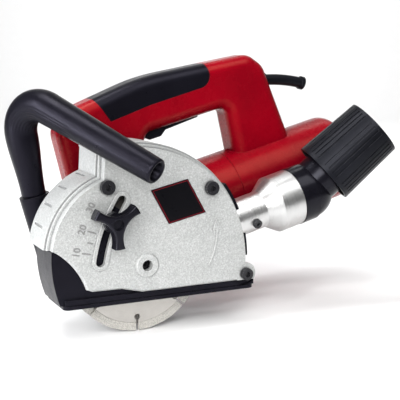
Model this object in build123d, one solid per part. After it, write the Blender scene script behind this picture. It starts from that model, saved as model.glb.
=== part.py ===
from build123d import *
import math
import os

# Twin-disc wall chaser, millimetres.
# Body frame: spindle axis along Y through the origin, +X rearwards along the motor, +Z up,
# y = 0 midway between the two discs, the blade cover's face towards -Y.
# Row frame: origin on the sole's underside straight below the tilt pivot, +X rearwards, +Z up.

# ---------------------------------------------------------------- driving dimensions
TILT = 15.0                 # nose-down tilt of the body at full plunge, degrees
PIVOT_X = 87.4              # tilt pivot in the body frame
PIVOT_Z = -41.3
PIVOT_H = 14.0              # tilt pivot above the sole's underside
RUN_GAP = 0.05              # radial clearance of a running fit
PART_GAP = 0.3              # free gap between neighbouring pieces

DISC_R = 62.5               # 125 mm discs with a 22.2 mm bore
DISC_BORE_R = 11.1
DISC_CORE_T = 1.6
DISC_RIM_T = 2.2
DISC_RIM_W = 7.0
DISC_GULLETS = 8
SPACER_T = 5.0              # spacers between the discs
SPACER_COUNT = 3
OUTER_SPACER_T = 3.0        # spare spacers outside the near disc
OUTER_SPACER_COUNT = 2
SPACER_R = 17.0
FLANGE_R = 20.0
FLANGE_T = 4.0
SPINDLE_R = 6.0

FACE_Y = -31.0              # outer face of the blade cover
COVER_T = 3.5
COVER_DEPTH = 10.0
BACK_Y = 21.0               # rear face of the casing's back wall
WALL = 3.5
BACK_WALL = 3.0
LEFT_CX, LEFT_CZ = -12.0, 14.6      # front rim circle
LEFT_R = 72.0
RIGHT_CX, RIGHT_CZ = -8.7, -0.9     # rear rim circle
RIGHT_R = 107.6
LIP_STEP = 1.8              # how far the cover steps inside the casing rim
LUG_R = 10.0

SLOT_R = 139.0              # depth slot: arc about the tilt pivot
SLOT_W = 8.0
SLOT_LOW = 10.0             # slot ends and bolt, degrees above the sole at full plunge
SLOT_HIGH = 32.5
BOLT_ANGLE = 24.4
SLOT_LIP = 1.0
COVER_SCREWS = [(-15.9, 75.8), (74.4, 44.7)]
LABEL = [(20.6, 60.4), (55.2, 59.0), (63.8, 26.0), (28.6, 27.6)]
LABEL_RECESS = 0.6

MOTOR_Y = 66.0              # motor axis, crossing the spindle axis
MOTOR_R = 38.0
MOTOR_RISE = 10.0           # the motor casing is this much taller on its upper side
MOTOR_WALL = 3.0
MOTOR_FRONT_X = 47.0
MOTOR_SEAM_X = 134.0
MOTOR_END_X = 268.0
MOTOR_END_ROUND = 18.0
GEARBOX_R = 29.5
GEARBOX_BORE_R = 26.0
GEARBOX_TOP = 42.0
GEARBOX_LEN = 76.0
LOCK_Y = 50.0               # spindle lock, in line with the crown gear's rim
FOOT_SCREWS_X = [4, 26]
GEARBOX_SCREWS = [(-33, 4), (-31, 31), (32, -8), (31, 31)]
CROWN_TEETH = 36
PINION_TEETH = 12
CONE = PINION_TEETH / CROWN_TEETH       # both pitch cones meet where the two axes cross
ADDENDUM = 0.045            # tooth height above and below the pitch cone, per unit of radius
DEDENDUM = 0.0575
CROWN_R = 24.0
MESH_R0, MESH_R1 = 15.0, 22.5
COMMUTATOR_R = 13.0
BRUSH_OUT = 34.3            # outer end of a brush holder from the motor axis

HANDLE_W = 36.0             # width of the D-handle
HANDLE_ROUND = 11.0
PAD_T = 2.0
HANDLE_FOOT_Z = GEARBOX_TOP
GRIP_UNDER_Z = 91.0         # underside of the grip, top of the hand gap
HANDLE_SCREWS = [(-14, 112), (44, 106), (149, 98), (195, 62), (153, 60)]
TRIGGER_X0, TRIGGER_X1 = 60.0, 118.0
TRIGGER_HALF_W = 8.0
TRIGGER_PIN = (114.0, 97.0)
TRIGGER_PIN_R = 2.0
BUTTON_X, BUTTON_Z = 58.0, 110.3
BUTTON_R = 4.0
BUTTON_FLANGE = 1.2
BOOT = [(198.0, 103.3), (223.5, 96.2), (243.0, 87.5)]
BOOT_R = 5.4
CORD_R = 3.3

PORT_Y, PORT_Z = -7.0, 2.5  # dust port axis
PORT_R = 17.2
PORT_BIG_R = 26.5
PORT_BORE_R = 14.5
PORT_END_X = 162.0
PORT_SCREW_X = 113.3
ELBOW_X, ELBOW_Z = 180.0, 4.5
ELBOW_DIR = Vector(0.845, -0.255, 0.469).normalized()
ELBOW_R = 22.0
ELBOW_BORE_R = 19.0
ADAPTER_R1 = 31.0
ADAPTER_R2 = 28.5
ADAPTER_START = 22.0
ADAPTER_LEN = 64.0
HOSE_R = 18.0
HOSE_DEPTH = 17.0

LEG_R = 10.6                # front handle
LEG_X, LEG_Y = -59.5, 39.0
LEG_TOP = 74.0
LEG_BOLTS_Z = [22, 42]
HANDLE_CORNER = (-51.5, 168.0)
GRIP_END = (11.0, -81.0, 86.0)
BEND_R = 25.0
KNEE_R = 14.0
GRIP_END_R = 10.7

SOLE_FRONT = -168.0
SOLE_REAR = 9.0
SOLE_T = 3.2
RAIL_TOP = 8.0
SOLE_Y0, SOLE_Y1 = -30.0, 20.5
GUARD_Y0, GUARD_Y1 = -26.5, 17.0
GUARD_WALL = 2.5
APRON_R = 170.0
GUARD_INNER_R = 112.0
GUARD_BAND_R = 110.0
APRON_CENTRE = (-110.4, 42.5)
SOLE_SCREWS = [(-160, -20), (-160, 12), (-22, -20), (-22, 12)]
EAR_R = 9.0
PIN_R = 4.0
BOLT_R = 3.0
KNOB_R = 21.0
KNOB_H = 15.0
KNOB_TURN = 19.0
KNOB_CUP_R = 4.6
KNOB_CUP_DEPTH = 3.5
INSERT_R = 5.0
INSERT_LEN = 9.0
KNOB_FOOT = FACE_Y - SLOT_LIP - 2.0

STACK = SPACER_T * SPACER_COUNT / 2 + DISC_RIM_T       # outer face of either disc
OUTER_STACK = STACK + OUTER_SPACER_T * OUTER_SPACER_COUNT


# ---------------------------------------------------------------- helpers
def slab(face, y0, y1):
    """Extrude a sketch drawn in (x, z) from y0 to y1."""
    return extrude(Plane.XZ.offset(-y1) * face, amount=y1 - y0)


def cyl_y(r, y0, y1, x=0.0, z=0.0):
    return slab(Pos(x, z) * Circle(r), y0, y1)


def cyl_x(r, x0, x1, y=0.0, z=0.0):
    return extrude(Plane.YZ.offset(x0) * Pos(y, z) * Circle(r), amount=x1 - x0)


def cyl_z(r, z0, z1, x=0.0, y=0.0):
    return extrude(Plane.XY.offset(z0) * Pos(x, y) * Circle(r), amount=z1 - z0)


def block(x0, x1, y0, y1, z0, z1):
    centre = Pos((x0 + x1) / 2, (y0 + y1) / 2, (z0 + z1) / 2)
    return centre * Box(x1 - x0, y1 - y0, z1 - z0)


def outline(points):
    return make_face(Polyline(*points, close=True))


def turned_x(points, y=0.0, z=0.0):
    """Revolve an (x, r) outline about an axis along X."""
    return Pos(0, y, z) * revolve(Plane.XZ * outline(points), Axis.X, 360)


def turned_y(points):
    """Revolve an (r, y) outline about the spindle axis."""
    return revolve(outline(points), Axis.Y, 360)


def to_row(shape):
    """Body frame to row frame at full plunge."""
    return Pos(0, 0, PIVOT_H) * Rot(0, -TILT, 0) * Pos(-PIVOT_X, 0, -PIVOT_Z) * shape


def body_point(x_row, z_row):
    """Row (x, z) at full plunge to body (x, z)."""
    t = math.radians(TILT)
    dx, dz = x_row, z_row - PIVOT_H
    return (dx * math.cos(t) + dz * math.sin(t) + PIVOT_X, -dx * math.sin(t) + dz * math.cos(t) + PIVOT_Z)


def left_polar(r, elevation):
    """Point at radius r ahead of the tilt pivot, raised by an angle in degrees."""
    a = math.radians(elevation)
    return (-r * math.cos(a), r * math.sin(a))


def ring_sector(cx, cz, r0, r1, a0, a1):
    """Ring sector between two angles in degrees, counter-clockwise from +X."""
    far = 2 * r1
    steps = max(2, int((a1 - a0) / 30) + 1)
    rays = [a0 + (a1 - a0) * k / steps for k in range(steps + 1)]
    wedge = [(cx, cz)] + [(cx + far * math.cos(math.radians(a)), cz + far * math.sin(math.radians(a))) for a in rays]
    return (Pos(cx, cz) * Circle(r1) - Pos(cx, cz) * Circle(r0)) & outline(wedge)


def motor_section(r):
    """Motor casing section in (y, z): a circle with a raised top."""
    low, high = Pos(MOTOR_Y, 0) * Circle(r), Pos(MOTOR_Y, MOTOR_RISE) * Circle(r)
    return low + high + Pos(MOTOR_Y, MOTOR_RISE / 2) * Rectangle(2 * r, MOTOR_RISE)


def motor_bar(r, x0, x1):
    return extrude(Plane.YZ.offset(x0) * motor_section(r), amount=x1 - x0)


def hex_socket(across, y0, y1, x=0.0, z=0.0):
    return slab(Pos(x, z) * RegularPolygon(across / 2, 6, major_radius=False), y0, y1)


def group(shapes):
    """Several separate solids as one node."""
    return ShapeList(s for shape in shapes for s in shape.solids())


def save(shape, node, place=None):
    """Write one node, each of its solids moved to the row frame by place."""
    solids = list(shape) if isinstance(shape, ShapeList) else shape.solids()
    solids = [place(s) if place else s for s in solids]
    export_step(solids[0] if len(solids) == 1 else Compound(solids), os.path.join("parts", node + ".step"))


# ---------------------------------------------------------------- casing
def below_casing():
    """Everything under the casing's lower edge, from the front S-curve to the lug."""
    foot = RAIL_TOP + 0.5
    curve = [(-176.6, 50.5), (-158.6, 34.2), (-148.7, 15.4)]
    edge = [(-230, 50.5), curve[0]]
    tail = [(-143.6, foot + 5), (-118, foot + 4.6), (-99, foot), (60, foot), (60, -90), (-230, -90)]
    u = [body_point(*p) for p in edge + curve[1:] + tail]
    start, mid, end = u[1], u[2], u[3]
    wires = [Line(u[0], start), ThreePointArc(start, mid, end)]
    rest = [end] + u[4:] + [u[0]]
    wires += [Line(a, b) for a, b in zip(rest, rest[1:])]
    return make_face(Wire(wires))


def rim_shape(shrink, open_bottom=False):
    """Casing outline, shrunk by an amount; with the bottom cut away unless open_bottom."""
    step = outline([(-25.5 + shrink, 70), (-14 + shrink, 104), (-14 + shrink, 130), (130, 130), (130, -130), (-25.5, -130)])
    right = (Pos(RIGHT_CX, RIGHT_CZ) * Circle(RIGHT_R - shrink)) & step
    shape = right + Pos(LEFT_CX, LEFT_CZ) * Circle(LEFT_R - shrink)
    if open_bottom:
        return shape
    return shape - below_casing()


def lug_shape():
    return Pos(PIVOT_X, PIVOT_Z) * Circle(LUG_R) - below_casing()


def slot_shape(grow):
    """Arc slot about the tilt pivot, in the body frame."""
    a0, a1 = SLOT_LOW + TILT, SLOT_HIGH + TILT
    half = SLOT_W / 2 + grow
    arc = ring_sector(PIVOT_X, PIVOT_Z, SLOT_R - half, SLOT_R + half, 180 - a1, 180 - a0)
    for a in (a0, a1):
        x, z = left_polar(SLOT_R, a)
        arc += Pos(PIVOT_X + x, PIVOT_Z + z) * Circle(half)
    return arc


def arrow_shape():
    """Raised arrow showing which way the discs turn."""
    path = ThreePointArc((55, -21), (66.5, -4.5), (71, 8))
    return trace(path, 1.6) + outline([(66.5, 8), (75.5, 6.5), (72.2, 17)])


def blade_cover():
    face_cut = 4.5
    y1 = FACE_Y + COVER_DEPTH
    inside = rim_shape(face_cut + WALL - 0.5, True)
    bevel = 1.5
    face = slab(rim_shape(face_cut) + lug_shape(), FACE_Y + bevel, FACE_Y + COVER_T)
    front = Plane.XZ.offset(-FACE_Y - bevel) * rim_shape(face_cut)
    face += extrude(front, amount=bevel, taper=45) + slab(lug_shape(), FACE_Y, FACE_Y + bevel)
    rim = slab(rim_shape(face_cut) - inside, FACE_Y, y1 - 3)
    lip = slab(rim_shape(LIP_STEP) - inside, y1 - 3, y1)
    lug_room = cyl_y(LUG_R + 4, FACE_Y + COVER_T, y1, PIVOT_X, PIVOT_Z)
    cover = face + (rim + lip - lug_room)
    cover += slab(slot_shape(3.0), FACE_Y - SLOT_LIP, FACE_Y + COVER_T)
    ring = [(4.8, FACE_Y - 1.6), (9.4, FACE_Y - 1.6), (10.7, FACE_Y), (10.7, FACE_Y + 5.5), (4.8, FACE_Y + 5.5)]
    cover = cover - cyl_y(6, FACE_Y - 3, y1) + turned_y(ring)
    cover -= slab(slot_shape(0.0), FACE_Y - 5, y1)
    cover -= slab(offset(outline(LABEL), amount=0.4), FACE_Y - 1, FACE_Y + LABEL_RECESS)
    cover += slab(arrow_shape(), FACE_Y - 0.5, FACE_Y + 0.5)
    for x, z in COVER_SCREWS:
        cover -= cyl_y(BOLT_R + 0.1, FACE_Y - 1, y1, x, z)
    cover -= cyl_x(PORT_R + 0.1, RIGHT_R - 25, RIGHT_R + 10, PORT_Y, PORT_Z)
    return cover - cyl_y(PIN_R + 0.02, FACE_Y - 1, y1, PIVOT_X, PIVOT_Z)


def label_plate():
    return slab(outline(LABEL), FACE_Y - 0.4, FACE_Y + LABEL_RECESS)


def rear_casing():
    y0 = FACE_Y + COVER_DEPTH + 0.2
    inner_back = BACK_Y - BACK_WALL
    body = slab(rim_shape(0) + lug_shape(), y0, BACK_Y) - slab(rim_shape(WALL, True), y0 - 1, inner_back)
    body -= cyl_y(LUG_R + 4, y0 - 1, inner_back, PIVOT_X, PIVOT_Z)
    for x, z in COVER_SCREWS:
        body += cyl_y(6.5, y0, BACK_Y, x, z)
        body -= cyl_y(BOLT_R + 0.02, y0 - 1, BACK_Y - 2, x, z)
    for angle in range(100, 178, 15):
        rib = block(LEFT_R - 1.2, LEFT_R + 3, y0 + 14, BACK_Y - 6, -1.2, 1.2)
        body -= Pos(LEFT_CX, 0, LEFT_CZ) * Rot(0, -angle, 0) * rib
    body -= cyl_y(SPINDLE_R + 5, inner_back - 1, BACK_Y + 1)
    body -= cyl_x(PORT_R + 0.02, RIGHT_R - 25, RIGHT_R + 10, PORT_Y, PORT_Z)
    body -= cyl_y(PIN_R + 0.02, inner_back - 1, BACK_Y + 1, PIVOT_X, PIVOT_Z)
    for x, z in GEARBOX_SCREWS:
        body -= cyl_y(2.6, inner_back - 1, BACK_Y + 1, x, z) + cyl_y(4.4, inner_back - 1, inner_back + 2, x, z)
    for z in LEG_BOLTS_Z:
        body -= cyl_y(BOLT_R + 0.02, inner_back - 1, BACK_Y + 1, LEG_X, z)
    return body


def socket_screw(x, z, head_y, head_r, head_h, shank_r, tip_y, across):
    screw = cyl_y(head_r, head_y, head_y + head_h, x, z) + cyl_y(shank_r, head_y, tip_y, x, z)
    screw -= hex_socket(across, head_y - 1, head_y + head_h * 0.6, x, z)
    return screw


def cover_screws():
    return group([socket_screw(x, z, FACE_Y - 4.5, 6, 4.5, BOLT_R, 10, 5) for x, z in COVER_SCREWS])


def pivot_pin():
    return socket_screw(PIVOT_X, PIVOT_Z, FACE_Y - 4.5, 5.4, 4.5, PIN_R, BACK_Y + 6, 5)


def pivot_nut():
    return slab(Pos(PIVOT_X, PIVOT_Z) * RegularPolygon(7, 6), BACK_Y, BACK_Y + 5) - \
        cyl_y(PIN_R, BACK_Y - 1, BACK_Y + 7, PIVOT_X, PIVOT_Z)


def dust_shield():
    """Curved plate outside the rear rim, around the dust port."""
    band = ring_sector(RIGHT_CX, RIGHT_CZ, RIGHT_R + 0.1, RIGHT_R + 3.2, -15, 22)
    shield = slab(band, FACE_Y + COVER_DEPTH + 1, BACK_Y - 2)
    return shield - cyl_x(PORT_R + 0.05, RIGHT_R - 30, RIGHT_R + 20, PORT_Y, PORT_Z)


# ---------------------------------------------------------------- dust port, elbow, adapter
def dust_port():
    x0, cone0, cone1 = 94.5, 127, 140
    spigot_x = cone1 + 5
    big_bore = PORT_BIG_R - 2.1
    shape = [(x0, PORT_BORE_R), (x0, PORT_R), (cone0, PORT_R), (cone1, PORT_BIG_R), (PORT_END_X, PORT_BIG_R)]
    shape += [(PORT_END_X, big_bore), (spigot_x, big_bore), (spigot_x, big_bore - 3), (cone0, PORT_BORE_R)]
    port = turned_x(shape, PORT_Y, PORT_Z)
    return port - port_screw_hole(2.02)


def port_screw_hole(r):
    hole = cyl_z(r, -PORT_R - 6, -PORT_BORE_R + 3, 0, 0)
    return Pos(PORT_SCREW_X, PORT_Y, PORT_Z) * Rot(-70, 0, 0) * hole


def dust_port_screw():
    head = cyl_z(4.2, -PORT_R - 3.2, -PORT_R - 0.2, 0, 0) + cyl_z(2.0, -PORT_R - 0.3, -PORT_BORE_R, 0, 0)
    head -= cyl_z(1.8, -PORT_R - 4, -PORT_R - 1.6, 0, 0)
    return Pos(PORT_SCREW_X, PORT_Y, PORT_Z) * Rot(-70, 0, 0) * head


def along_elbow(shape):
    """Place a shape built along +Z so that it runs along the elbow's outlet."""
    return Plane(origin=(ELBOW_X, PORT_Y, ELBOW_Z), z_dir=ELBOW_DIR) * shape


def tube_z(r_out, r_in, z0, z1):
    return cyl_z(r_out, z0, z1) - cyl_z(r_in, z0 - 1, z1 + 1)


def dust_elbow():
    spigot_r = PORT_BIG_R - 2.1 - RUN_GAP
    collar_end = ELBOW_X - 2
    body = cyl_x(spigot_r, PORT_END_X - 12, PORT_END_X + 1, PORT_Y, PORT_Z)
    body += cyl_x(PORT_BIG_R + 0.5, PORT_END_X + PART_GAP, collar_end, PORT_Y, PORT_Z)
    body += Pos(collar_end, PORT_Y, PORT_Z) * Sphere(PORT_BIG_R - 0.5)
    body -= block(0, PORT_END_X + PART_GAP, -60, 60, -60, 60) - cyl_x(spigot_r, 0, 200, PORT_Y, PORT_Z)
    body += along_elbow(cyl_z(ELBOW_R, 0, ADAPTER_START + ADAPTER_LEN - HOSE_DEPTH - 1))
    body -= cyl_x(ELBOW_BORE_R + 1, PORT_END_X - 20, ELBOW_X + 2, PORT_Y, PORT_Z)
    body -= Pos(ELBOW_X, PORT_Y, ELBOW_Z) * Sphere(ELBOW_BORE_R)
    return body - along_elbow(cyl_z(ELBOW_BORE_R, 0, ADAPTER_START + 60))


def hose_adapter():
    end = ADAPTER_START + ADAPTER_LEN
    outer = [(ADAPTER_R1 - 2.4, ADAPTER_START), (ADAPTER_R1, ADAPTER_START), (ADAPTER_R2, end), (HOSE_R, end)]
    web = end - HOSE_DEPTH
    inner = [(HOSE_R, web), (ELBOW_R + RUN_GAP, web), (ELBOW_R + RUN_GAP, ADAPTER_START + 30)]
    inner += [(ELBOW_R + 2.5, ADAPTER_START + 30), (ELBOW_R + 2.5, web - 4), (ADAPTER_R2 - 2.2, web - 4)]
    sleeve = revolve(Plane.XZ * outline(outer + inner), Axis.Z, 360)
    count = 40
    for k in range(count):
        if k % 5 != 0:
            groove = block(ADAPTER_R1 - 0.9, ADAPTER_R1 + 4, -0.9, 0.9, ADAPTER_START + 4, end - 3)
            lean = math.degrees(math.atan2(ADAPTER_R1 - ADAPTER_R2, ADAPTER_LEN))
            tilted = Pos(ADAPTER_R1, 0, ADAPTER_START) * Rot(0, -lean, 0) * Pos(-ADAPTER_R1, 0, -ADAPTER_START) * groove
            sleeve -= Rot(0, 0, 360 * k / count) * tilted
    return along_elbow(sleeve)


# ---------------------------------------------------------------- gearbox and spindle
def gear_housing():
    """Cast housing round the crown gear, open to the motor, flanged to the casing."""
    end_y = BACK_Y + GEARBOX_LEN
    body = cyl_y(GEARBOX_R, BACK_Y, end_y) + motor_bar(MOTOR_R, MOTOR_FRONT_X - 20, MOTOR_FRONT_X)
    body += block(-27, MOTOR_FRONT_X, MOTOR_Y - 22, MOTOR_Y + 22, 0, GEARBOX_TOP)
    body += slab((Pos(0, 11) * RectangleRounded(78, 56, 8)) - below_casing(), BACK_Y, BACK_Y + 8)
    body += cyl_x(8, -GEARBOX_R - 4, 0, LOCK_Y, 0)
    body -= cyl_y(GEARBOX_BORE_R, BACK_Y - 1, end_y - 9)
    body -= cyl_x(10, 20, MOTOR_FRONT_X + 1, MOTOR_Y, 0) + cyl_x(15.02, 36, MOTOR_FRONT_X + 1, MOTOR_Y, 0)
    body -= cyl_y(9.02, end_y - 12, end_y - 3) + cyl_x(3.06, -60, -20, LOCK_Y, 0)
    for x, z in GEARBOX_SCREWS:
        body -= cyl_y(2.52, BACK_Y - 1, BACK_Y + 7.5, x, z)
    for x in FOOT_SCREWS_X:
        body -= cyl_z(2.52, GEARBOX_TOP - 7, GEARBOX_TOP + 10, x, MOTOR_Y)
    return body


def gearbox_screws():
    y0 = BACK_Y - BACK_WALL
    return group([socket_screw(x, z, y0, 4.2, 2, 2.5, BACK_Y + 7, 2.5) for x, z in GEARBOX_SCREWS])


def bearing_flange():
    plate = cyl_y(GEARBOX_BORE_R - 0.02, BACK_Y, BACK_Y + 5) + cyl_y(21, BACK_Y, BACK_Y + 15)
    return plate - cyl_y(9.5, BACK_Y - 1, BACK_Y + 16) - cyl_y(16.02, BACK_Y + 3, BACK_Y + 16)


def ball_bearing(r_in, r_out, width):
    """Deep-groove bearing about Z from z=0: two rings and a shield band between them."""
    third = (r_out - r_in) / 3
    ring = tube_z(r_out, r_in, 0, width)
    for z in (-1, width - 0.6):
        ring -= tube_z(r_out - third, r_in + third, z, z + 1.6)
    return ring


def front_spindle_bearing():
    return Pos(0, BACK_Y + 13, 0) * Rot(90, 0, 0) * ball_bearing(SPINDLE_R + RUN_GAP, 16, 10)


def rear_spindle_bush():
    end_y = BACK_Y + GEARBOX_LEN
    return cyl_y(9, end_y - 12, end_y - 3.5) - cyl_y(SPINDLE_R + RUN_GAP, end_y - 13, end_y)


def front_armature_bearing():
    return Pos(36, MOTOR_Y, 0) * Rot(0, 90, 0) * ball_bearing(5 + RUN_GAP, 15, 9)


def rear_armature_bearing():
    return Pos(200, MOTOR_Y, 0) * Rot(0, 90, 0) * ball_bearing(4 + RUN_GAP, 11, 7)


def spindle():
    shaft = cyl_y(SPINDLE_R, -OUTER_STACK - 2, BACK_Y + GEARBOX_LEN - 4)
    shaft += cyl_y(8, STACK + FLANGE_T, BACK_Y + 3)
    return shaft - cyl_y(4.05, -OUTER_STACK - 3, -1)


def inner_flange():
    flange = cyl_y(FLANGE_R, STACK, STACK + FLANGE_T) + cyl_y(DISC_BORE_R - RUN_GAP, -OUTER_STACK, STACK)
    return flange - cyl_y(SPINDLE_R + 0.03, -OUTER_STACK - 1, STACK + FLANGE_T + 1)


def outer_flange():
    y0 = -OUTER_STACK - FLANGE_T
    return cyl_y(FLANGE_R, y0, -OUTER_STACK) - cyl_y(SPINDLE_R + 0.03, y0 - 1, 0)


def clamp_bolt():
    y0 = -OUTER_STACK - FLANGE_T
    bolt = cyl_y(9, y0 - 3.6, y0) + cyl_y(4, y0, -3)
    return bolt - hex_socket(6, y0 - 5, y0 - 0.8)


def spacer(y0, thickness):
    return cyl_y(SPACER_R, y0, y0 + thickness) - cyl_y(DISC_BORE_R, y0 - 1, y0 + thickness + 1)


def spacer_rings():
    inner = [spacer(-STACK + DISC_RIM_T + k * SPACER_T, SPACER_T) for k in range(SPACER_COUNT)]
    outer = [spacer(-OUTER_STACK + k * OUTER_SPACER_T, OUTER_SPACER_T) for k in range(OUTER_SPACER_COUNT)]
    return group(inner + outer)


def disc(y_mid, phase):
    core = cyl_y(DISC_R - DISC_RIM_W + 0.5, y_mid - DISC_CORE_T / 2, y_mid + DISC_CORE_T / 2)
    hub = cyl_y(SPACER_R, y_mid - DISC_RIM_T / 2, y_mid + DISC_RIM_T / 2)
    rim = slab(Circle(DISC_R) - Circle(DISC_R - DISC_RIM_W), y_mid - DISC_RIM_T / 2, y_mid + DISC_RIM_T / 2)
    blade = core + hub + rim - cyl_y(DISC_BORE_R, y_mid - 3, y_mid + 3)
    for k in range(DISC_GULLETS):
        gullet = block(DISC_R - 11, DISC_R + 1, y_mid - 3, y_mid + 3, -1.1, 1.1)
        gullet += cyl_y(2.7, y_mid - 3, y_mid + 3, DISC_R - 12, 0)
        blade -= Rot(0, -(phase + 360 * k / DISC_GULLETS), 0) * gullet
    return blade


def near_disc():
    return disc(-STACK + DISC_RIM_T / 2, -106)


def far_disc():
    return disc(STACK - DISC_RIM_T / 2, -84)


def wedge_teeth(count, width_deg, r0, r1, phase):
    middles = [phase + 360 * k / count for k in range(count)]
    return [ring_sector(0, 0, r0, r1, a - width_deg / 2, a + width_deg / 2) for a in middles]


def crown_gear():
    def at(r, share):
        return (r, MOTOR_Y - r * (CONE + share))
    back_y = MOTOR_Y - 22
    blank = [(SPINDLE_R, back_y), (CROWN_R, back_y), at(CROWN_R, DEDENDUM), at(MESH_R0 - 2, DEDENDUM)]
    blank += [(SPINDLE_R, at(MESH_R0 - 2, DEDENDUM)[1])]
    layer = [at(MESH_R0, DEDENDUM + 0.02), at(CROWN_R - 0.5, DEDENDUM + 0.02), at(CROWN_R - 0.5, -ADDENDUM)]
    layer += [at(MESH_R0, -ADDENDUM)]
    teeth = Sketch() + wedge_teeth(CROWN_TEETH, 4.0, MESH_R0 - 1, CROWN_R + 1, 180 / CROWN_TEETH)
    gear = turned_y(blank) + (turned_y(layer) & slab(teeth, back_y, MOTOR_Y))
    for k in range(4):
        gear -= Rot(0, 90 * k, 0) * cyl_x(3.4, -CROWN_R - 2, -CROWN_R + 4, LOCK_Y, 0)
    return gear


def pinion():
    def at(x, share):
        return (x, x * (CONE + share))
    root = [(MESH_R0, 3.5), at(MESH_R0, -DEDENDUM), at(MESH_R1, -DEDENDUM), (MESH_R1, 6.2), (29, 6.2), (29, 3.5)]
    layer = [at(MESH_R0, -DEDENDUM - 0.02), at(MESH_R0, ADDENDUM), at(MESH_R1, ADDENDUM), at(MESH_R1, -DEDENDUM - 0.02)]
    teeth = Sketch() + wedge_teeth(PINION_TEETH, 10.0, 2, 14, 180)
    bars = extrude(Plane.YZ.offset(MESH_R0 - 1) * teeth, amount=MESH_R1 - MESH_R0 + 2)
    return turned_x(root, MOTOR_Y) + Pos(0, MOTOR_Y, 0) * (turned_x(layer) & bars)


# ---------------------------------------------------------------- motor
def armature_shaft():
    steps = [(13, 0), (13, 3.5), (29, 3.5), (29, 5), (198, 5), (198, 4), (208, 4), (208, 0)]
    return turned_x(steps, MOTOR_Y)


def collar_x(r_out, r_in, x0, x1):
    return cyl_x(r_out, x0, x1, MOTOR_Y, 0) - cyl_x(r_in, x0 - 1, x1 + 1, MOTOR_Y, 0)


def armature_core():
    core = collar_x(21.4, 5, 76, 124)
    for k in range(12):
        core -= Pos(0, MOTOR_Y, 0) * Rot(30 * k, 0, 0) * block(75, 125, -1, 1, 16, 23)
    return core


def armature_windings():
    return group([collar_x(18, 5, 67, 75.9), collar_x(18, 5, 124.1, 134)])


def commutator():
    ring = collar_x(COMMUTATOR_R, 5, 138, 156)
    for k in range(24):
        ring -= Pos(0, MOTOR_Y, 0) * Rot(15 * k, 0, 0) * block(140, 157, -0.3, 0.3, COMMUTATOR_R - 0.8, COMMUTATOR_R + 1)
    return ring


def fan():
    wheel = collar_x(9, 5, 51, 63) + collar_x(31, 5, 51, 53)
    for k in range(14):
        blade = block(52.5, 62, -0.8, 0.8, 8.5, 30.5)
        wheel += Pos(0, MOTOR_Y, 0) * Rot(360 * k / 14, 0, 0) * blade
    return wheel


def stator():
    """Field laminations with a window for the coils above and below the bore."""
    ring = collar_x(MOTOR_R - MOTOR_WALL - 0.02, 22.0, 74, 126)
    for z in (-30, 24):
        ring -= block(73, 127, MOTOR_Y - 11, MOTOR_Y + 11, z, z + 6)
    return ring


def fan_baffle():
    return collar_x(MOTOR_R - MOTOR_WALL - 0.02, 24, 65.2, 66.8)


def motor_housing():
    x1 = MOTOR_SEAM_X - 0.4
    tube = motor_bar(MOTOR_R, MOTOR_FRONT_X, x1) - motor_bar(MOTOR_R - MOTOR_WALL, MOTOR_FRONT_X - 1, x1 + 1)
    for k in range(8):
        slot = block(MOTOR_FRONT_X + 4, MOTOR_FRONT_X + 13, -1.6, 1.6, MOTOR_R - 6, MOTOR_R + 3)
        tube -= Pos(0, MOTOR_Y, 0) * Rot(131 + 14 * k, 0, 0) * slot
    return tube


def both_sides(x0, x1, r0, r1, half_h):
    """A bar on either side of the motor axis, from r0 out to r1."""
    return [block(x0, x1, MOTOR_Y + min(s * r0, s * r1), MOTOR_Y + max(s * r0, s * r1), -half_h, half_h) for s in (-1, 1)]


def brush_holders():
    outer = both_sides(142, 154, COMMUTATOR_R + 1.5, BRUSH_OUT, 6.5)
    bore = both_sides(144, 152, COMMUTATOR_R, BRUSH_OUT + 3, 4.5)
    return group([a - b for a, b in zip(outer, bore)])


def carbon_brushes():
    return group(both_sides(144.1, 151.9, COMMUTATOR_R + PART_GAP, COMMUTATOR_R + 18, 4.4))


# ---------------------------------------------------------------- D-handle


def handle_profile():
    """Outside of the D-handle in (x, z), corners rounded."""
    points = [(-23.5, HANDLE_FOOT_Z), (-21.5, 117), (-6, 132.5), (70, 142.5), (184, 133.5), (197, 119), (212, HANDLE_FOOT_Z - 20)]
    face = outline(points + [(60, HANDLE_FOOT_Z - 20), (50, HANDLE_FOOT_Z)])
    round_at = [(-21.5, 117), (-6, 132.5), (70, 142.5), (184, 133.5), (197, 119)]
    radii = [18, 22, 200, 16, 18]
    for (x, z), r in zip(round_at, radii):
        corner = face.vertices().sort_by_distance((x, z, 0))[0]
        face = fillet(corner, r)
    return face


def handle_window():
    """Hand opening in (x, z)."""
    face = outline([(46, 20), (52, 76), (63, GRIP_UNDER_Z), (147, GRIP_UNDER_Z), (144, 20)])
    corners = face.vertices().filter_by(lambda v: v.Y > 50)
    return fillet(corners, 7)


def handle_solid(inset):
    profile = handle_profile() - handle_window()
    if inset:
        profile = offset(handle_profile(), amount=-inset) - offset(handle_window(), amount=inset)
    half = HANDLE_W / 2 - inset
    solid = slab(profile, MOTOR_Y - half, MOTOR_Y + half)
    ends = solid.faces().filter_by(Axis.Y)
    edges = [e for f in ends for e in f.edges() if (e @ 0.5).Z > HANDLE_FOOT_Z + 2]
    return fillet(edges, HANDLE_ROUND - inset)


def pad_region():
    """Side view of the soft pad: slanted front, round rear end."""
    face = outline([(10, 160), (29, 112.5), (70, 116), (137, 117), (134, 160)])
    face = fillet(face.vertices().sort_by_distance((137, 117, 0))[0], 12)
    return slab(face, MOTOR_Y - HANDLE_W, MOTOR_Y + HANDLE_W)


def rear_motor_solid():
    bar = motor_bar(MOTOR_R, MOTOR_SEAM_X, MOTOR_END_X)
    end = bar.faces().sort_by(Axis.X)[-1]
    return fillet(end.edges(), MOTOR_END_ROUND)


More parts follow.
